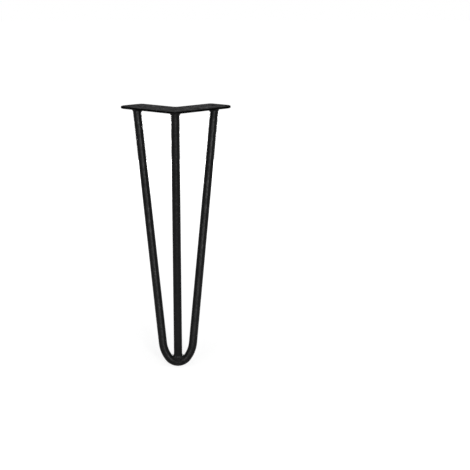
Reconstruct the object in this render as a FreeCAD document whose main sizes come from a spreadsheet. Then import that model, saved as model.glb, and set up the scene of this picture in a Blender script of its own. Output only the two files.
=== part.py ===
# Hairpin table leg: an L-shaped screw plate, one round bar bent into a U, a straight round bar
# from the plate's corner down into the bend, and the four welds that hold them together.
#
# Frame, in millimetres: the origin is on the plate's top face, above the straight bar's axis.
# +Z is up and the leg hangs below the plate. The plate's outer corner points to -Y and its two
# arms run back to the left and to the right, so the leg is the same on both sides of x = 0.

import FreeCAD, Part
import math
import os

import Sketcher
from FreeCAD import Placement, Rotation, Vector

DIMENSIONS = [
    ("leg_height", 370, "top face of the plate to the lowest point of the foot"),
    ("rod_diameter", 12, "round bar, both pieces"),
    ("plate_thickness", 3, "flat plate"),
    ("arm_length", 124.5, "outer edge of each arm, from the square outer corner to its end"),
    ("arm_width", 52, "each arm, from its outer to its inner edge"),
    ("outer_corner_radius", 5, "plate corner in front of the straight bar"),
    ("inner_corner_radius", 5, "plate corner between the arms"),
    ("tip_outer_radius", 20, "end of each arm, at its outer edge"),
    ("tip_inner_radius", 5, "end of each arm, at its inner edge"),
    ("plate_edge_break", 0.4, "small bevel all round both faces of the plate"),
    ("rod_inset", 40.1, "arm's end to the axis of the bent bar under it, along the arm"),
    ("toe_radius", 16.8, "tight arc at the foot, on the bar's centre line"),
    ("toe_angle", 53, "turn of the tight arc, each side of the foot, in degrees"),
    ("shoulder_radius", 43, "wider arc that leads into each straight leg, on the centre line"),
    ("rod_end_height", 2.5, "end of the straight bar above the centre line of the bend"),
    ("screw_hole_diameter", 5.5, "plain holes through the plate"),
    ("screw_hole_inset", 24, "outer edge of each arm to its row of holes"),
    ("end_hole_station", 100, "square outer corner to the screw hole near the arm's end"),
    ("middle_hole_station", 54, "square outer corner to the screw hole at the arm's middle"),
    ("plate_weld_reach", 2.2, "weld at each end of the bent bar, out from the bar"),
    ("corner_weld_reach", 1.8, "weld at the straight bar's top, out from the bar"),
    ("plate_weld_leg", 1.8, "these three welds, down the bar from the plate"),
    ("plate_weld_wrap", 2.2, "up the plate's edge from its underside"),
    ("plate_weld_setback", 1, "their middle, in from the bar's axis and away from the plate's edge"),
    ("foot_weld_length", 20, "weld in the bend, from tip to tip"),
    ("foot_weld_flat", 13, "its middle, where it keeps its full thickness"),
    ("foot_weld_girth", 14.2, "its diameter there"),
    ("foot_weld_rise", 6.6, "its axis above the centre line of the bend"),
    ("crotch_radius", 2.4, "hollow of that weld between the straight bar and the bend"),
    ("crotch_spacing", 16.2, "the two hollows, centre to centre"),
    ("crotch_height", 12.8, "their centres above the centre line of the bend"),
]

doc = FreeCAD.newDocument("hairpin_table_leg")
sheet = doc.addObject("Spreadsheet::Sheet", "Dimensions")
for row, (alias, value, note) in enumerate(DIMENSIONS, start=1):
    sheet.set(f"A{row}", alias)
    sheet.set(f"B{row}", str(value))
    sheet.set(f"C{row}", note)
    sheet.setAlias(f"B{row}", alias)
doc.recompute()

SIZE = {alias: float(getattr(sheet, alias)) for alias, value, note in DIMENSIONS}

# Derived places, as expressions on the sheet. Each end of the bent bar sits flush with the
# plate's outer edge, so in the leg's frame it is as far to the side as it is to the back.
ROD_RADIUS = "Dimensions.rod_diameter / 2"
ROD_STATION = "(Dimensions.arm_length - Dimensions.rod_inset)"
ROD_OFFSET = f"({ROD_STATION} - {ROD_RADIUS}) / sqrt(2)"
FOOT_AXIS_Z = "(Dimensions.rod_diameter / 2 - Dimensions.leg_height)"
BEND_RISE = "(Dimensions.leg_height - Dimensions.rod_diameter / 2 - Dimensions.plate_thickness)"
BEND_SLANT = f"atan({ROD_OFFSET} / {BEND_RISE})"
BEND_LENGTH = f"sqrt({BEND_RISE} ^ 2 + ({ROD_OFFSET}) ^ 2)"
WELD_SHIFT = "Dimensions.plate_weld_setback / sqrt(2)"

# The same, as numbers, to start the sketches close to their solution.
ROD_STATION_MM = SIZE["arm_length"] - SIZE["rod_inset"]
ROD_OFFSET_MM = (ROD_STATION_MM - SIZE["rod_diameter"] / 2) / math.sqrt(2)
BEND_RISE_MM = SIZE["leg_height"] - SIZE["rod_diameter"] / 2 - SIZE["plate_thickness"]
BEND_LENGTH_MM = math.hypot(BEND_RISE_MM, ROD_OFFSET_MM)

# How a sketch numbers the points of a line or an arc, its own origin and its two axes.
START, END, CENTRE = 1, 2, 3
HORIZONTAL_AXIS, VERTICAL_AXIS = -1, -2
ORIGIN = (HORIZONTAL_AXIS, START)


def new_body(label):
    body = doc.addObject("PartDesign::Body", label)
    body.Label = label
    return body


def origin_plane(body, role):
    return next(item for item in body.Origin.OriginFeatures if item.Role == role)


def new_sketch(body, name, role):
    sketch = body.newObject("Sketcher::SketchObject", name)
    sketch.AttachmentSupport = [(origin_plane(body, role), "")]
    sketch.MapMode = "FlatFace"
    return sketch


def constrain(sketch, kind, *geometry):
    return sketch.addConstraint(Sketcher.Constraint(kind, *geometry))


def dimension(sketch, name, expression, kind, *geometry):
    """Add a dimension that starts at its last argument and is then bound to the expression."""
    index = constrain(sketch, kind, *geometry)
    sketch.renameConstraint(index, name)
    sketch.setExpression(f"Constraints.{name}", expression)


def closed_outline(sketch, corners):
    """Straight sides through the corners, joined end to end."""
    count = len(corners)
    for index, corner in enumerate(corners):
        following = corners[(index + 1) % count]
        sketch.addGeometry(Part.LineSegment(Vector(*corner, 0), Vector(*following, 0)), False)
    for index in range(count):
        constrain(sketch, "Coincident", index, END, (index + 1) % count, START)


def circle_at(sketch, centre, radius):
    return sketch.addGeometry(Part.Circle(Vector(*centre, 0), Vector(0, 0, 1), radius), False)


def edge_names(feature, wanted):
    return [f"Edge{number}" for number, edge in enumerate(feature.Shape.Edges, start=1) if wanted(edge)]


def near(first, second):
    return math.isclose(first, second, abs_tol=1e-4)


def fillet(body, base, names, name, expression):
    rounding = body.newObject("PartDesign::Fillet", name)
    rounding.Base = (base, names)
    rounding.setExpression("Radius", expression)
    doc.recompute()
    return rounding


def make_top_plate():
    """The L, drawn with its square outer corner at the body's origin and an arm on each axis."""
    body = new_body("top_plate")
    length = SIZE["arm_length"]
    width = SIZE["arm_width"]

    outline = new_sketch(body, "PlateOutline", "XY_Plane")
    closed_outline(
        outline,
        [(0, 0), (length, 0), (length, width), (width, width), (width, length), (0, length)],
    )
    for side in (0, 2, 4):
        constrain(outline, "Horizontal", side)
    for side in (1, 3, 5):
        constrain(outline, "Vertical", side)
    constrain(outline, "Coincident", 0, START, *ORIGIN)
    dimension(outline, "first_arm", "Dimensions.arm_length", "DistanceX", 0, START, 0, END, length)
    dimension(outline, "first_width", "Dimensions.arm_width", "DistanceY", 1, START, 1, END, width)
    dimension(outline, "second_width", "Dimensions.arm_width", "DistanceX", 4, END, 4, START, width)
    dimension(outline, "second_arm", "Dimensions.arm_length", "DistanceY", 5, END, 5, START, length)

    plate = body.newObject("PartDesign::Pad", "PlateBlank")
    plate.Profile = outline
    plate.Reversed = True
    plate.setExpression("Length", "Dimensions.plate_thickness")
    doc.recompute()

    def upright_at(*places):
        def wanted(edge):
            start, end = edge.Vertexes[0].Point, edge.Vertexes[-1].Point
            upright = near(start.x, end.x) and near(start.y, end.y)
            return upright and any(near(start.x, x) and near(start.y, y) for x, y in places)

        return wanted

    corners = [
        ("OuterCorner", [(0, 0)], "Dimensions.outer_corner_radius"),
        ("InnerCorner", [(width, width)], "Dimensions.inner_corner_radius"),
        ("TipOuterCorners", [(length, 0), (0, length)], "Dimensions.tip_outer_radius"),
        ("TipInnerCorners", [(length, width), (width, length)], "Dimensions.tip_inner_radius"),
    ]
    rounded = plate
    for name, places, radius in corners:
        names = edge_names(rounded, upright_at(*places))
        rounded = fillet(body, rounded, names, name, radius)

    def on_a_face(edge):
        heights = [vertex.Point.z for vertex in edge.Vertexes]
        return near(heights[0], heights[-1])

    bevel = body.newObject("PartDesign::Chamfer", "BrokenEdges")
    bevel.Base = (rounded, edge_names(rounded, on_a_face))
    bevel.setExpression("Size", "Dimensions.plate_edge_break")
    doc.recompute()

    holes = new_sketch(body, "ScrewHoles", "XY_Plane")
    bore = SIZE["screw_hole_diameter"]
    hole_places = {
        "corner": ("screw_hole_inset", "screw_hole_inset"),
        "first_end": ("end_hole_station", "screw_hole_inset"),
        "second_end": ("screw_hole_inset", "end_hole_station"),
        "first_middle": ("middle_hole_station", "screw_hole_inset"),
        "second_middle": ("screw_hole_inset", "middle_hole_station"),
    }
    for name, (along, across) in hole_places.items():
        x, y = SIZE[along], SIZE[across]
        circle = circle_at(holes, (x, y), bore / 2)
        dimension(holes, f"{name}_x", f"Dimensions.{along}", "DistanceX", *ORIGIN, circle, CENTRE, x)
        dimension(holes, f"{name}_y", f"Dimensions.{across}", "DistanceY", *ORIGIN, circle, CENTRE, y)
        dimension(holes, f"{name}_bore", "Dimensions.screw_hole_diameter", "Diameter", circle, bore)
    doc.recompute()
    drilled = body.newObject("PartDesign::Pocket", "DrilledHoles")
    drilled.Profile = holes
    drilled.Type = "ThroughAll"

    body.Placement = Placement(Vector(0, 0, 0), Rotation(Vector(0, 0, 1), 45))
    body.setExpression("Placement.Base.y", "-Dimensions.rod_diameter / sqrt(2)")
    return body


def make_hairpin_rod():
    """One bar bent into a U: half of it is swept from the foot up, then mirrored and trimmed."""
    body = new_body("hairpin_rod")
    bar = SIZE["rod_diameter"]
    toe_radius = SIZE["toe_radius"]
    shoulder_radius = SIZE["shoulder_radius"]
    toe_turn = math.radians(SIZE["toe_angle"])

    # The U lies in a plane that leans back from the foot to the ends of the bar.
    path = new_sketch(body, "BendLine", "XZ_Plane")
    path.AttachmentOffset = Placement(Vector(0, -BEND_RISE_MM, 0), Rotation(Vector(-1, 0, 0), 8))
    path.setExpression("AttachmentOffset.Base.y", FOOT_AXIS_Z)
    path.setExpression("AttachmentOffset.Rotation.Angle", BEND_SLANT)

    toe_centre = Vector(0, toe_radius, 0)
    toe_end = toe_centre + toe_radius * Vector(math.sin(toe_turn), -math.cos(toe_turn), 0)
    shoulder_centre = toe_end + shoulder_radius * Vector(-math.sin(toe_turn), math.cos(toe_turn), 0)
    rod_top = Vector(ROD_OFFSET_MM, BEND_LENGTH_MM, 0)
    reach = rod_top - shoulder_centre
    lean = math.atan2(reach.x, reach.y) - math.asin(shoulder_radius / reach.Length)
    shoulder_end = shoulder_centre + shoulder_radius * Vector(math.cos(lean), -math.sin(lean), 0)
    leg_end = rod_top + bar * Vector(math.tan(lean), 1, 0)

    up = Vector(0, 0, 1)
    foot_angle = -math.pi / 2
    joint_angle = toe_turn - math.pi / 2
    toe_circle = Part.Circle(toe_centre, up, toe_radius)
    shoulder_circle = Part.Circle(shoulder_centre, up, shoulder_radius)
    toe = path.addGeometry(Part.ArcOfCircle(toe_circle, foot_angle, joint_angle), False)
    shoulder = path.addGeometry(Part.ArcOfCircle(shoulder_circle, joint_angle, -lean), False)
    leg = path.addGeometry(Part.LineSegment(shoulder_end, leg_end), False)
    top = path.addGeometry(Part.Point(rod_top), True)
    constrain(path, "Coincident", toe, START, *ORIGIN)
    constrain(path, "PointOnObject", toe, CENTRE, VERTICAL_AXIS)
    constrain(path, "Tangent", toe, END, shoulder, START)
    constrain(path, "Tangent", shoulder, END, leg, START)
    constrain(path, "PointOnObject", top, START, leg)
    dimension(path, "toe_radius", "Dimensions.toe_radius", "Radius", toe, toe_radius)
    dimension(path, "shoulder_radius", "Dimensions.shoulder_radius", "Radius", shoulder, shoulder_radius)
    dimension(path, "toe_angle", "Dimensions.toe_angle * 1 deg", "Angle", toe, toe_turn)
    dimension(path, "top_offset", ROD_OFFSET, "DistanceX", *ORIGIN, top, START, rod_top.x)
    dimension(path, "top_height", BEND_LENGTH, "DistanceY", *ORIGIN, top, START, rod_top.y)
    dimension(path, "spare_length", "Dimensions.rod_diameter", "DistanceY", top, START, leg, END, bar)

    section = new_sketch(body, "RodSection", "YZ_Plane")
    circle = circle_at(section, (0, -BEND_RISE_MM), bar / 2)
    constrain(section, "PointOnObject", circle, CENTRE, VERTICAL_AXIS)
    dimension(section, "foot_depth", f"-{FOOT_AXIS_Z}", "DistanceY", circle, CENTRE, *ORIGIN, BEND_RISE_MM)
    dimension(section, "diameter", "Dimensions.rod_diameter", "Diameter", circle, bar)
    doc.recompute()

    half = body.newObject("PartDesign::AdditivePipe", "HalfBend")
    half.Profile = section
    half.Spine = path
    doc.recompute()

    whole = body.newObject("PartDesign::Mirrored", "WholeBend")
    whole.Originals = [half]
    whole.MirrorPlane = (origin_plane(body, "YZ_Plane"), [""])
    whole.Refine = True
    body.Tip = whole
    doc.recompute()

    # The spare ends above the plate's underside come off in one level cut.
    window = new_sketch(body, "TrimWindow", "XY_Plane")
    window.setExpression("AttachmentOffset.Base.z", "-Dimensions.plate_thickness")
    edge = ROD_OFFSET_MM + 2 * bar
    closed_outline(window, [(-edge, -edge), (edge, -edge), (edge, edge), (-edge, edge)])
    for side in (0, 2):
        constrain(window, "Horizontal", side)
    for side in (1, 3):
        constrain(window, "Vertical", side)
    span = f"2 * ({ROD_OFFSET} + 2 * Dimensions.rod_diameter)"
    constrain(window, "Symmetric", 0, START, 1, END, *ORIGIN)
    dimension(window, "span_x", span, "DistanceX", 0, START, 0, END, 2 * edge)
    dimension(window, "span_y", span, "DistanceY", 1, START, 1, END, 2 * edge)
    trim = body.newObject("PartDesign::Pocket", "LevelEnds")
    trim.Profile = window
    trim.Type = "ThroughAll"
    trim.Reversed = True
    return body


def cut(label, base, *tools):
    """Take the tools away from the base, one after another."""
    result = base
    for number, tool in enumerate(tools, start=1):
        step = doc.addObject("Part::Cut", f"{label}_cut_{number}")
        step.Base = result
        step.Tool = tool
        result = step
    result.Label = label
    return result


def make_centre_rod(hairpin_rod):
    """A straight upright bar, coped to sit in the bend."""
    blank = doc.addObject("Part::Cylinder", "StraightBar")
    blank.setExpression("Radius", ROD_RADIUS)
    blank.setExpression("Height", f"{BEND_RISE} - Dimensions.rod_end_height")
    blank.setExpression("Placement.Base.z", f"{FOOT_AXIS_Z} + Dimensions.rod_end_height")
    return cut("centre_rod", blank, hairpin_rod)


def weld_ring(name, across, back, reach):
    """A turned bead about an upright axis at a bar's end: down the bar and up the plate's edge."""
    body = new_body(name)
    rod = SIZE["rod_diameter"] / 2
    width = rod + SIZE[reach]
    leg = SIZE["plate_weld_leg"]
    wrap = SIZE["plate_weld_wrap"]

    # The corners in turn: on the bar, at the rim, on the plate's edge, and two on the axis.
    profile = new_sketch(body, f"{name}_profile", "XZ_Plane")
    closed_outline(profile, [(rod, -leg), (width, 0), (rod, wrap), (0, wrap), (0, -leg - rod)])
    lower, upper, top, axis, cone = range(5)
    constrain(profile, "Horizontal", top)
    constrain(profile, "PointOnObject", axis, START, VERTICAL_AXIS)
    constrain(profile, "PointOnObject", axis, END, VERTICAL_AXIS)
    constrain(profile, "PointOnObject", upper, START, HORIZONTAL_AXIS)
    rim_out = f"{ROD_RADIUS} + Dimensions.{reach}"
    dimension(profile, "rim", rim_out, "DistanceX", *ORIGIN, upper, START, width)
    dimension(profile, "toe_out", ROD_RADIUS, "DistanceX", *ORIGIN, lower, START, rod)
    dimension(profile, "toe_down", "Dimensions.plate_weld_leg", "DistanceY", lower, START, *ORIGIN, leg)
    dimension(profile, "cone_down", ROD_RADIUS, "DistanceY", cone, START, cone, END, rod)
    dimension(profile, "crown_out", ROD_RADIUS, "DistanceX", *ORIGIN, upper, END, rod)
    dimension(profile, "crown_up", "Dimensions.plate_weld_wrap", "DistanceY", *ORIGIN, upper, END, wrap)
    doc.recompute()

    ring = body.newObject("PartDesign::Revolution", f"{name}_ring")
    ring.Profile = profile
    ring.ReferenceAxis = (profile, ["V_Axis"])
    ring.Angle = 360
    body.setExpression("Placement.Base.x", across)
    body.setExpression("Placement.Base.y", back)
    body.setExpression("Placement.Base.z", "-Dimensions.plate_thickness")
    doc.recompute()
    return body


def make_foot_weld(centre_rod, hairpin_rod):
    """A spindle of weld along the bend, with a round hollow on each side of the straight bar."""
    spindle = new_body("FootBead")
    reach = SIZE["foot_weld_length"] / 2
    flat = SIZE["foot_weld_flat"] / 2
    thickness = SIZE["foot_weld_girth"] / 2

    profile = new_sketch(spindle, "FootBeadProfile", "XZ_Plane")
    closed_outline(profile, [(-reach, 0), (reach, 0), (flat, thickness), (-flat, thickness)])
    axis, right, crown, left = range(4)
    constrain(profile, "Horizontal", axis)
    constrain(profile, "Symmetric", axis, START, axis, END, *ORIGIN)
    constrain(profile, "Symmetric", crown, START, crown, END, VERTICAL_AXIS)
    length = "Dimensions.foot_weld_length"
    dimension(profile, "length", length, "DistanceX", axis, START, axis, END, 2 * reach)
    dimension(profile, "flat", "Dimensions.foot_weld_flat", "DistanceX", crown, END, crown, START, 2 * flat)
    girth = "Dimensions.foot_weld_girth / 2"
    dimension(profile, "thickness", girth, "DistanceY", *ORIGIN, crown, START, thickness)
    doc.recompute()
    bead = spindle.newObject("PartDesign::Revolution", "FootBeadTurned")
    bead.Profile = profile
    bead.ReferenceAxis = (profile, ["H_Axis"])
    bead.Angle = 360
    spindle.setExpression("Placement.Base.z", f"{FOOT_AXIS_Z} + Dimensions.foot_weld_rise")
    doc.recompute()

    hollows = []
    for side, sign in (("Right", ""), ("Left", "-")):
        hollow = doc.addObject("Part::Cylinder", f"{side}Hollow")
        hollow.Placement = Placement(Vector(0, 0, 0), Rotation(Vector(1, 0, 0), 90))
        hollow.setExpression("Radius", "Dimensions.crotch_radius")
        hollow.setExpression("Height", "2 * Dimensions.foot_weld_girth")
        hollow.setExpression("Placement.Base.x", f"{sign}Dimensions.crotch_spacing / 2")
        hollow.setExpression("Placement.Base.y", "Dimensions.foot_weld_girth")
        hollow.setExpression("Placement.Base.z", f"{FOOT_AXIS_Z} + Dimensions.crotch_height")
        hollows.append(hollow)
    return cut("foot_weld", spindle, *hollows, centre_rod, hairpin_rod)


top_plate = make_top_plate()
hairpin_rod = make_hairpin_rod()
doc.recompute()
centre_rod = make_centre_rod(hairpin_rod)
weld_across = f"({ROD_OFFSET} - {WELD_SHIFT})"
weld_back = f"{ROD_OFFSET} + {WELD_SHIFT}"
right_ring = weld_ring("RightRing", weld_across, weld_back, "plate_weld_reach")
left_ring = weld_ring("LeftRing", f"-{weld_across}", weld_back, "plate_weld_reach")
corner_ring = weld_ring("CornerRing", "0", "Dimensions.plate_weld_setback", "corner_weld_reach")
nodes = [
    top_plate,
    hairpin_rod,
    centre_rod,
    cut("plate_weld_right", right_ring, top_plate, hairpin_rod),
    cut("plate_weld_left", left_ring, top_plate, hairpin_rod),
    cut("plate_weld_centre", corner_ring, top_plate, centre_rod),
    make_foot_weld(centre_rod, hairpin_rod),
]
doc.recompute()

for item in doc.Objects:
    if "Invalid" in item.State or "Error" in item.State:
        raise RuntimeError(f"{item.Name} could not be built: {item.State}")
for node in nodes:
    if node.Shape.isNull() or not node.Shape.isValid():
        raise RuntimeError(f"{node.Label} has no sound shape")

os.makedirs("parts", exist_ok=True)
for node in nodes:
    node.Shape.exportStep(f"parts/{node.Label}.step")
    print(node.Label, len(node.Shape.Solids), "solid,", round(node.Shape.Volume, 1), "mm3")
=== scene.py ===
"""Looks of the hairpin table leg: powder coat, weld beads, studio, light and camera.

Everything is in metres in the leg's own frame. The origin is on the plate's top face above the
straight bar, +Z is up, and the plate's outer corner points to -Y, towards the camera.
"""

import math

import bmesh
import bpy
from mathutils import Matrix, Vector, noise


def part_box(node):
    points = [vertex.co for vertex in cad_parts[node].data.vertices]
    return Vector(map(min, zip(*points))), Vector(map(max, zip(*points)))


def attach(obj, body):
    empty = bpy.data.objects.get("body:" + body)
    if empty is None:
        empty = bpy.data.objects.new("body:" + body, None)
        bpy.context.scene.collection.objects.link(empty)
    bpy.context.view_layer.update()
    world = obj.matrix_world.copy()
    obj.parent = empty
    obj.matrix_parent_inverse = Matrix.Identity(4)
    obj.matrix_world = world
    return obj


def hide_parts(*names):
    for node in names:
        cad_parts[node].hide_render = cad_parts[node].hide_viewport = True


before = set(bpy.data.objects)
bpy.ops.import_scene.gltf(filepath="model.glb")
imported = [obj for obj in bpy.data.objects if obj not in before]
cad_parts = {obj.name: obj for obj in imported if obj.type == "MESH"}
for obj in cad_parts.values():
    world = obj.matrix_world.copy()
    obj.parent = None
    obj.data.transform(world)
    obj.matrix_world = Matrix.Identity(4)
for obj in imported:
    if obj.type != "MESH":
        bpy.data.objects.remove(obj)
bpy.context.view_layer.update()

MM = 0.001

# The leg's sizes. The plate's square outer corner is at Y = PLATE_CORNER. The foot's weld has a
# hollow on each side of the straight bar, HOLLOW_ASIDE from it and HOLLOW_RISE above BEND_AXIS.
BAR_RADIUS = 6 * MM
ARM_LENGTH = 124.5 * MM
ARM_WIDTH = 52 * MM
PLATE_CORNER = -math.sqrt(2) * BAR_RADIUS
PLATE_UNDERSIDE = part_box("top_plate")[0].z
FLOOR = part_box("hairpin_rod")[0].z
BEND_AXIS = FLOOR + BAR_RADIUS
BEND_RADIUS = 16.8 * MM
HOLLOW_RADIUS = 2.4 * MM
HOLLOW_ASIDE = 8.1 * MM
HOLLOW_RISE = 12.8 * MM

# Noise in the coat's colour and gloss, and then in its relief, in features a metre.
CLOUDS, CLOUDS_ON_PLATE = 110, 80
BLOTCHES = 260
GRAIN = 2600
WAVES, WAVES_ON_PLATE = 280, 110
PEBBLES = 850
DUST = 3800

# The part of the noise's range that is spread over the whole range of tone, and then where the tone
# changes: darker in from the plate's rim, painted shade out to its tips, and painted light down the
# bars that fades out towards the bend.
TONE_RANGE = 0.4, 0.6
PLATE_TONE_RANGE = 0.4, 0.61
RIM_FADE = 0.5 * MM, 5 * MM
TIP_SHADE = 56 * MM, 74 * MM
BARS_PAINTED_LIGHT = -310 * MM, -100 * MM
BEND_PAINTED_LIGHT_FADE = -352 * MM, -318 * MM

PEEL_DEPTH = 0.07 * MM
PEEL_STRENGTH = 0.55
ROUGHNESS_SWING = 0.09

# The beads at the plate: points along their section and steps round the bar. The foot's bead:
# rings from tip to tip and steps round each, before it is remeshed.
PLATE_BEAD_POINTS, PLATE_BEAD_STEPS = 26, 300
FOOT_BEAD_RINGS, FOOT_BEAD_STEPS = 90, 120
FOOT_BEAD_VOXEL = 0.22 * MM

WHITE = (1, 1, 1, 1)
FLOOR_GREY = (0.25, 0.25, 0.25, 1)
WORLD_STRENGTH = 0.1
LEG_MIDDLE = Vector((0, 0.02, -0.15))

# Name, azimuth and elevation in degrees, distance, width and height in metres, power in watts.
# Azimuth 0 is the camera's side.
SOFT_LIGHTS = [
    ("key", 13, 12, 2.4, 0.45, 1.0, 60),
    ("side", -20, 8, 2.4, 0.3, 0.7, 20),
    ("top", 0, 80, 2.2, 1.6, 1.6, 20),
    ("back", 180, -1.5, 2.0, 1.6, 0.3, 30),
]

# The camera that was fitted to the photograph. Down and aside are its turns in degrees.
CAMERA_PLACE = (0.021725, -1.500205, 0.15893)
CAMERA_DOWN = 12.561
CAMERA_ASIDE = -2.333
LENS_MM = 82.886
SENSOR_MM = 36


# ---------------------------------------------------------------- shader nodes

# A Mix node has sockets of the same names for each type of data, so its colours go by number.
MIX_SHARE, MIX_DARK, MIX_LIGHT, MIX_RESULT = 0, 6, 7, 2


def add_node(tree, kind, inputs=None, **settings):
    """Make a shader node, set its properties, and set or link its inputs by name or number."""
    node = tree.nodes.new(kind)
    for name, value in settings.items():
        setattr(node, name, value)
    for key, value in (inputs or {}).items():
        if isinstance(value, bpy.types.NodeSocket):
            tree.links.new(value, node.inputs[key])
        else:
            node.inputs[key].default_value = value
    return node


def noise_factor(tree, place, scale, detail=2.0, roughness=0.5):
    """A grey noise of that many features a metre."""
    made = add_node(
        tree,
        "ShaderNodeTexNoise",
        {"Vector": place, "Scale": scale, "Detail": detail, "Roughness": roughness},
    )
    return made.outputs["Fac"]


def spread(tree, factor, low, high, start, end):
    """From low to high while the factor goes from start to end, and flat beyond them."""
    made = add_node(
        tree,
        "ShaderNodeMapRange",
        {"Value": factor, "From Min": start, "From Max": end, "To Min": low, "To Max": high},
    )
    return made.outputs["Result"]


def maths(tree, operation, first, second=0.0):
    return add_node(tree, "ShaderNodeMath", {0: first, 1: second}, operation=operation).outputs[0]


def axes_of(tree, vector):
    return add_node(tree, "ShaderNodeSeparateXYZ", {0: vector}).outputs


def weighted(tree, *shares):
    """The sum of factors, each with its own weight."""
    total = None
    for factor, weight in shares:
        part = maths(tree, "MULTIPLY", factor, weight)
        total = part if total is None else maths(tree, "ADD", total, part)
    return total


# ---------------------------------------------------------------- powder coat


def painted_light_on_plate(tree, place):
    """Painted light and shade on the plate: its broad faces light and its edge faces dark, darker
    in from the rim, and painted shade towards the tips.
    """
    normal = add_node(tree, "ShaderNodeNewGeometry").outputs["Normal"]
    upward = maths(tree, "ABSOLUTE", axes_of(tree, normal)["Z"])
    # Painted light and shade: the broad faces take the light tone, as if lit from above, and the
    # edge faces the dark one.
    painted_lit_faces = spread(tree, upward, 0.0, 1.0, 0.6, 0.95)

    # Both arms lie at 45 degrees: station runs along an arm from the square corner, and inset
    # runs across it from its outer edge.
    axes = axes_of(tree, place)
    across = maths(tree, "ABSOLUTE", axes["X"])
    back = maths(tree, "SUBTRACT", axes["Y"], PLATE_CORNER)
    station = maths(tree, "MULTIPLY", maths(tree, "ADD", back, across), math.sqrt(0.5))
    inset = maths(tree, "MULTIPLY", maths(tree, "SUBTRACT", back, across), math.sqrt(0.5))
    to_end = maths(tree, "SUBTRACT", ARM_LENGTH, station)
    to_back = maths(tree, "SUBTRACT", ARM_WIDTH, inset)
    to_rim = maths(tree, "MINIMUM", maths(tree, "MINIMUM", inset, to_back), to_end)
    # Darker in from the rim.
    rim = spread(tree, to_rim, 0.2, 1.0, *RIM_FADE)
    # Painted shade: darker out towards the arms' tips.
    shaded_tips = spread(tree, across, 1.0, 0.3, *TIP_SHADE)
    return maths(tree, "MULTIPLY", painted_lit_faces, maths(tree, "MULTIPLY", rim, shaded_tips))


def painted_light_on_bars(tree, place, share):
    """The same share of tone, with painted light that makes the bars paler lower down and that
    fades out again in the bend.
    """
    height = axes_of(tree, place)["Z"]
    # Painted light: paler lower down the bars.
    low = spread(tree, height, 1.0, 0.0, *BARS_PAINTED_LIGHT)
    painted_light_above_bend = spread(tree, height, 0.1, 1.0, *BEND_PAINTED_LIGHT_FADE)
    return weighted(tree, (share, 0.5), (maths(tree, "MULTIPLY", low, painted_light_above_bend), 0.4))


def powder_coat(name, dark, light, rough, gloss, flat=False, bars=False):
    """Satin black powder coat: orange peel, soft clouds of tone and an uneven gloss, with painted
    light and shade added on the plate and the bars.
    """
    material = bpy.data.materials.new(name)
    material.use_nodes = True
    tree = material.node_tree
    shader = tree.nodes["Principled BSDF"]
    place = add_node(tree, "ShaderNodeTexCoord").outputs["Object"]

    clouds = noise_factor(tree, place, CLOUDS_ON_PLATE if flat else CLOUDS, 3.0, 0.55)
    blotches = noise_factor(tree, place, BLOTCHES)
    grain = noise_factor(tree, place, GRAIN, 2.0, 0.6)
    tone = weighted(tree, (clouds, 0.55), (blotches, 0.3), (grain, 0.15))
    share = spread(tree, tone, 0.0, 1.0, *TONE_RANGE)
    if flat:
        lifted = spread(tree, tone, 0.16, 1.0, *PLATE_TONE_RANGE)
        # The plate's random tone, times its painted light and shade.
        share = maths(tree, "MULTIPLY", lifted, painted_light_on_plate(tree, place))
    # On the bars, painted light lower down.
    if bars:
        share = painted_light_on_bars(tree, place, share)
    colour = add_node(
        tree,
        "ShaderNodeMix",
        {MIX_SHARE: share, MIX_DARK: dark, MIX_LIGHT: light},
        data_type="RGBA",
    )
    tree.links.new(colour.outputs[MIX_RESULT], shader.inputs["Base Color"])
    dull, bright = rough + ROUGHNESS_SWING, rough - ROUGHNESS_SWING
    roughness = spread(tree, tone, dull, bright, *TONE_RANGE)
    tree.links.new(roughness, shader.inputs["Roughness"])

    waves = noise_factor(tree, place, WAVES_ON_PLATE if flat else WAVES, 1.0)
    pebbles = noise_factor(tree, place, PEBBLES, 1.0)
    dust = noise_factor(tree, place, DUST)
    if flat:
        relief = weighted(tree, (waves, 34.0), (pebbles, 0.6), (dust, 0.1))
    else:
        relief = weighted(tree, (waves, 9.0), (pebbles, 1.0), (dust, 0.3))
    bump = add_node(
        tree,
        "ShaderNodeBump",
        {"Height": relief, "Strength": PEEL_STRENGTH, "Distance": PEEL_DEPTH},
    )
    tree.links.new(bump.outputs["Normal"], shader.inputs["Normal"])
    shader.inputs["Specular IOR Level"].default_value = gloss
    return material


# ------------------------------------------------------------------ welds


def new_piece(name, verts, faces, material):
    mesh = bpy.data.meshes.new(name)
    mesh.from_pydata(verts, [], faces)
    mesh.update()
    piece = bpy.data.objects.new(name, mesh)
    bpy.context.scene.collection.objects.link(piece)
    mesh.materials.append(material)
    mesh.shade_smooth()
    return piece


def turned(profile, steps, relief):
    """Vertices and faces of a closed surface turned about Z, raised by relief(angle, share)."""
    verts, faces = [], []
    rows = len(profile)
    for number in range(steps):
        angle = 2 * math.pi * number / steps
        for row, (radius, height, out_r, out_z) in enumerate(profile):
            raise_by = relief(angle, row / (rows - 1))
            r, z = radius + out_r * raise_by, height + out_z * raise_by
            verts.append((r * math.cos(angle), r * math.sin(angle), z))
    for number in range(steps):
        here, there = number * rows, (number + 1) % steps * rows
        for row in range(rows - 1):
            faces.append((here + row, there + row, there + row + 1, here + row + 1))
    verts += [(0, 0, profile[0][1]), (0, 0, profile[-1][1])]
    low, high = len(verts) - 2, len(verts) - 1
    for number in range(steps):
        here, there = number * rows, (number + 1) % steps * rows
        faces.append((low, there, here))
        faces.append((high, here + rows - 1, there + rows - 1))
    return verts, faces


def between(a, b, c, d, t):
    """The place t of the way from b to c, on the smooth curve through a, b, c and d."""
    square = (2 * a - 5 * b + 4 * c - d) * t * t
    cube = (3 * b - a - 3 * c + d) * t**3
    return 0.5 * (2 * b + (c - a) * t + square + cube)


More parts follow.
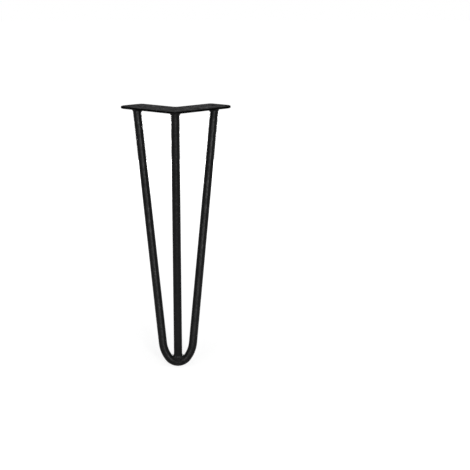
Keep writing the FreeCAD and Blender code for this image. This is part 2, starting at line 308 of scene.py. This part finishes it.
def bead_profile(corners, steps):
    """Points and outward directions along a smooth curve through the corners, bar to plate."""
    points = []
    for number in range(steps + 1):
        place = number / steps * (len(corners) - 1)
        first = min(int(place), len(corners) - 2)
        before, after = corners[max(first - 1, 0)], corners[min(first + 2, len(corners) - 1)]
        around = zip(before, corners[first], corners[first + 1], after)
        points.append(tuple(between(*four, place - first) for four in around))
    profile = []
    for number, (r, z) in enumerate(points):
        before, after = points[max(number - 1, 0)], points[min(number + 1, steps)]
        along = Vector((after[0] - before[0], after[1] - before[1])).normalized()
        profile.append((r, z, along.y, -along.x))
    return profile


def ripples(seed, pitch, height, radius):
    """Relief of a welded bead: crescents a pitch apart round the bar, uneven in size."""
    count = round(2 * math.pi * radius / pitch)
    wander_lobes, bow, drift = 2.2, 0.55, 0.8
    lump_lobes, lump_share, wander_share = 2.3, 0.9, 0.5

    def relief(angle, share):
        fade = math.sin(math.pi * share) ** 0.7 if 0 < share < 1 else 0.0
        around = Vector((math.cos(angle), math.sin(angle), 0.35 * seed)) * wander_lobes
        wander = noise.noise(around)
        crescent = bow * (share - 0.5) ** 2 * 4
        phase = count * angle / (2 * math.pi) + crescent + drift * wander
        wave = phase - math.floor(phase)
        crest = 1 - (2 * wave - 1) ** 2 * (0.6 + 0.4 * wave)
        lumps = noise.noise(around * lump_lobes + Vector((seed, 0, share * 1.5)))
        return height * fade * (crest + lump_share * lumps + wander_share * wander)

    return relief


def plate_weld(node, seed, material):
    """The bead round a bar's end: on the bar, under the plate and up the plate's edge."""
    low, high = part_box(node)
    reach = (high.x - low.x) / 2
    width = reach - BAR_RADIUS
    inside = BAR_RADIUS - 0.6 * MM
    corners = [
        (inside, low.z - 0.1 * MM),
        (BAR_RADIUS + 0.04 * width, low.z + 0.2 * MM),
        (BAR_RADIUS + 0.25 * width, low.z + 0.75 * MM),
        (BAR_RADIUS + 0.65 * width, PLATE_UNDERSIDE - 0.35 * MM),
        (BAR_RADIUS + 0.82 * width, PLATE_UNDERSIDE + 0.25 * MM),
        (BAR_RADIUS + 0.6 * width, PLATE_UNDERSIDE + 1.1 * MM),
        (BAR_RADIUS + 0.25 * width, high.z - 0.15 * MM),
        (inside, high.z - 0.1 * MM),
    ]
    relief = ripples(seed, pitch=1.7 * MM, height=0.14 * MM, radius=reach - 1 * MM)
    verts, faces = turned(bead_profile(corners, PLATE_BEAD_POINTS), PLATE_BEAD_STEPS, relief)
    centre = (low + high) / 2
    verts = [(x + centre.x, y + centre.y, z) for x, y, z in verts]
    piece = new_piece(f"bead_{node}", verts, faces, material)
    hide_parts(node)
    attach(piece, "root")
    return piece


def remeshed(piece, smoothing):
    """The piece, with its modifiers applied, as one even skin that is softened so many times."""
    skin = piece.modifiers.new("Skin", "REMESH")
    skin.mode = "VOXEL"
    skin.voxel_size = FOOT_BEAD_VOXEL
    skin.use_smooth_shade = True
    soft = piece.modifiers.new("Soft", "SMOOTH")
    soft.factor = 0.5
    soft.iterations = smoothing
    depsgraph = bpy.context.evaluated_depsgraph_get()
    mesh = bpy.data.meshes.new_from_object(piece.evaluated_get(depsgraph))
    piece.modifiers.clear()
    piece.data = mesh


def seam_scales(seed, pitch, height):
    """Relief of the foot's bead: curved scales along the seam round the straight bar, and lumps."""
    seam_radius, scale_reach, bow = 7.5 * MM, 5 * MM, 0.7
    wander_size, drift = 6 * MM, 0.5
    lump_size, lump_height = 1.9 * MM, 0.34 * MM
    calm_start, calm_width = HOLLOW_RADIUS + 0.3 * MM, 1.8 * MM
    count = round(2 * math.pi * seam_radius / pitch)

    def relief(place):
        angle = math.atan2(place.y, place.x)
        seam = BEND_AXIS + 1.5 * MM + BAR_RADIUS * abs(math.cos(angle))
        across = (place.z - seam) / scale_reach
        wander = noise.noise(place / wander_size + Vector((seed, 0, 0)))
        phase = count * angle / (2 * math.pi) + bow * across**2 + drift * wander
        wave = phase - math.floor(phase)
        scale = math.sqrt(max(0.0, 1 - (2 * wave - 1) ** 2))
        lumps = noise.noise(place / lump_size + Vector((0, seed, 0)))
        # The relief fades out towards the hollows, which stay clean.
        aside = Vector((abs(place.x) - HOLLOW_ASIDE, place.z - BEND_AXIS - HOLLOW_RISE)).length
        calm = min(max((aside - calm_start) / calm_width, 0), 1)
        return calm * (height * (scale - 0.75) + lump_height * lumps)

    return relief


def foot_forms(girth):
    """Vertices and faces of the three overlapping forms that make up the foot's bead."""
    # Half length, half depth, half height, height above the bend's axis, two powers that shape
    # the ends, and whether the form follows the bend or lies straight.
    forms = [
        (10.4 * MM, girth - 0.2 * MM, girth, 6.6 * MM, 2.6, 0.62, False),
        (9.4 * MM, girth - 0.2 * MM, 6.8 * MM, 4.3 * MM, 2.2, 0.5, False),
        (9.6 * MM, girth - 0.55 * MM, 6.2 * MM, 0.8 * MM, 3.0, 0.22, True),
    ]
    rings, steps = FOOT_BEAD_RINGS, FOOT_BEAD_STEPS
    verts, faces = [], []
    for half, deep, tall, rise, power, blunt, follows in forms:
        first = len(verts)
        for ring in range(rings + 1):
            x = -half * math.cos(math.pi * ring / rings)
            width = (1 - abs(x / half) ** power) ** blunt
            slant = math.asin(x / BEND_RADIUS) if follows else 0.0
            middle = BEND_AXIS + rise + BEND_RADIUS * (1 - math.cos(slant))
            for step in range(steps):
                angle = 2 * math.pi * step / steps
                y = deep * width * math.cos(angle)
                z = tall * width * math.sin(angle) / math.cos(slant)
                verts.append((x, y, middle + z))
        for ring in range(rings):
            here, there = first + ring * steps, first + (ring + 1) * steps
            for step in range(steps):
                following = (step + 1) % steps
                faces.append((here + step, there + step, there + following, here + following))
    return verts, faces


def close_tips(mesh):
    """Join the points of each form's first and last ring, and turn all the faces outwards."""
    weld_mesh = bmesh.new()
    weld_mesh.from_mesh(mesh)
    bmesh.ops.remove_doubles(weld_mesh, verts=weld_mesh.verts, dist=1e-6)
    bmesh.ops.recalc_face_normals(weld_mesh, faces=weld_mesh.faces)
    weld_mesh.to_mesh(mesh)
    weld_mesh.free()


def foot_weld(node, seed, material):
    """The bead between the straight bar and the bend, hollow on each side of the bar."""
    low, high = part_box(node)
    girth = (high.y - low.y) / 2
    piece = new_piece(f"bead_{node}", *foot_forms(girth), material)
    close_tips(piece.data)
    remeshed(piece, smoothing=0)

    cutters = []
    for side in (-1, 1):
        bpy.ops.mesh.primitive_cylinder_add(
            vertices=64,
            radius=HOLLOW_RADIUS,
            depth=40 * MM,
            location=(side * HOLLOW_ASIDE, 0, BEND_AXIS + HOLLOW_RISE),
            rotation=(math.pi / 2, 0, 0),
        )
        cutter = bpy.context.object
        cutters.append(cutter)
        hollow = piece.modifiers.new("Hollow", "BOOLEAN")
        hollow.operation = "DIFFERENCE"
        hollow.object = cutter
        hollow.solver = "EXACT"
    remeshed(piece, smoothing=8)
    for cutter in cutters:
        bpy.data.objects.remove(cutter)

    relief = seam_scales(seed, pitch=2.5 * MM, height=0.15 * MM)
    mesh = piece.data
    normals = [vertex.normal.copy() for vertex in mesh.vertices]
    for vertex, normal in zip(mesh.vertices, normals):
        vertex.co += normal * relief(vertex.co)
    mesh.shade_smooth()
    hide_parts(node)
    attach(piece, "root")
    return piece


# ----------------------------------------------------------------- studio


def seen_as_white(tree, strength):
    """How far a ray comes from the camera, a mirror or glass, and the white that it then sees."""
    path = add_node(tree, "ShaderNodeLightPath").outputs
    seen = maths(tree, "MAXIMUM", path["Is Camera Ray"], path["Is Glossy Ray"])
    seen = maths(tree, "MAXIMUM", seen, path["Is Transmission Ray"])
    white = add_node(tree, "ShaderNodeEmission", {"Color": WHITE, "Strength": strength})
    return seen, white.outputs[0]


def make_floor():
    """A pale floor under the foot that fades into the white round it and keeps the shadow."""
    bpy.ops.mesh.primitive_plane_add(size=40, location=(0, 0, FLOOR))
    floor = bpy.context.object
    floor.name = "floor"
    material = bpy.data.materials.new("floor_white")
    material.use_nodes = True
    tree = material.node_tree
    shader = tree.nodes["Principled BSDF"]
    shader.inputs["Base Color"].default_value = FLOOR_GREY
    shader.inputs["Roughness"].default_value = 1.0
    shader.inputs["Specular IOR Level"].default_value = 0.0
    place = add_node(tree, "ShaderNodeTexCoord").outputs["Object"]
    distance = add_node(tree, "ShaderNodeVectorMath", {0: place}, operation="LENGTH")
    glow = spread(tree, distance.outputs["Value"], 0.82, 1.0, 0.05, 0.9)
    seen, white = seen_as_white(tree, glow)
    grey = shader.outputs[0]
    both = add_node(tree, "ShaderNodeAddShader", {0: grey, 1: white}).outputs[0]
    mixed = add_node(tree, "ShaderNodeMixShader", {0: seen, 1: grey, 2: both}).outputs[0]
    tree.links.new(mixed, tree.nodes["Material Output"].inputs["Surface"])
    floor.data.materials.append(material)


def make_world():
    """White where it is seen or mirrored, and a dim even light everywhere else."""
    world = bpy.data.worlds.new("studio")
    bpy.context.scene.world = world
    world.use_nodes = True
    tree = world.node_tree
    lit = tree.nodes["Background"]
    lit.inputs["Color"].default_value = WHITE
    lit.inputs["Strength"].default_value = WORLD_STRENGTH
    seen, white = seen_as_white(tree, 1.0)
    mixed = add_node(tree, "ShaderNodeMixShader", {0: seen, 1: lit.outputs[0], 2: white})
    tree.links.new(mixed.outputs[0], tree.nodes["World Output"].inputs["Surface"])


def soft_light(name, azimuth, elevation, distance, width, height, power):
    """A soft box that looks at the middle of the leg."""
    turn, rise = math.radians(azimuth), math.radians(elevation)
    level = math.cos(rise)
    away = Vector((math.sin(turn) * level, -math.cos(turn) * level, math.sin(rise)))
    data = bpy.data.lights.new(name, "AREA")
    data.shape = "RECTANGLE"
    data.size, data.size_y = width, height
    data.energy = power
    light = bpy.data.objects.new(name, data)
    light.location = LEG_MIDDLE + away * distance
    light.rotation_euler = (-away).to_track_quat("-Z", "Y").to_euler()
    light.visible_camera = False
    bpy.context.scene.collection.objects.link(light)


def make_camera():
    data = bpy.data.cameras.new("photo_view")
    data.lens = LENS_MM
    data.sensor_width = SENSOR_MM
    camera = bpy.data.objects.new("photo_view", data)
    camera.location = CAMERA_PLACE
    camera.rotation_euler = (math.radians(90 - CAMERA_DOWN), 0, math.radians(CAMERA_ASIDE))
    bpy.context.scene.collection.objects.link(camera)
    bpy.context.scene.camera = camera


def main():
    bars = powder_coat(
        "coat_on_bars_painted_light",
        dark=(0.0012, 0.0012, 0.0013, 1),
        light=(0.0078, 0.0078, 0.008, 1),
        rough=0.35,
        gloss=0.066,
        bars=True,
    )
    # The plate's light tone, far paler than the bars', is painted light: it stands in for the
    # grazing sheen and the overhead light on its broad faces.
    plate = powder_coat(
        "coat_on_plate_painted_sheen",
        dark=(0.001, 0.001, 0.0011, 1),
        light=(0.075, 0.075, 0.0766, 1),
        rough=0.86,
        gloss=0.012,
        flat=True,
    )
    welds = powder_coat(
        "coat_on_welds",
        dark=(0.001, 0.001, 0.0011, 1),
        light=(0.0062, 0.0062, 0.0064, 1),
        rough=0.42,
        gloss=0.06,
    )
    coats = {"top_plate": plate, "hairpin_rod": bars, "centre_rod": bars}
    for node, material in coats.items():
        for material_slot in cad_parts[node].material_slots:
            material_slot.material = material

    plate_weld("plate_weld_left", 1, welds)
    plate_weld("plate_weld_right", 2, welds)
    plate_weld("plate_weld_centre", 3, welds)
    foot_weld("foot_weld", 4, welds)

    make_floor()
    make_world()
    for settings in SOFT_LIGHTS:
        soft_light(*settings)
    make_camera()
    bpy.context.scene.view_settings.view_transform = "Standard"


main()
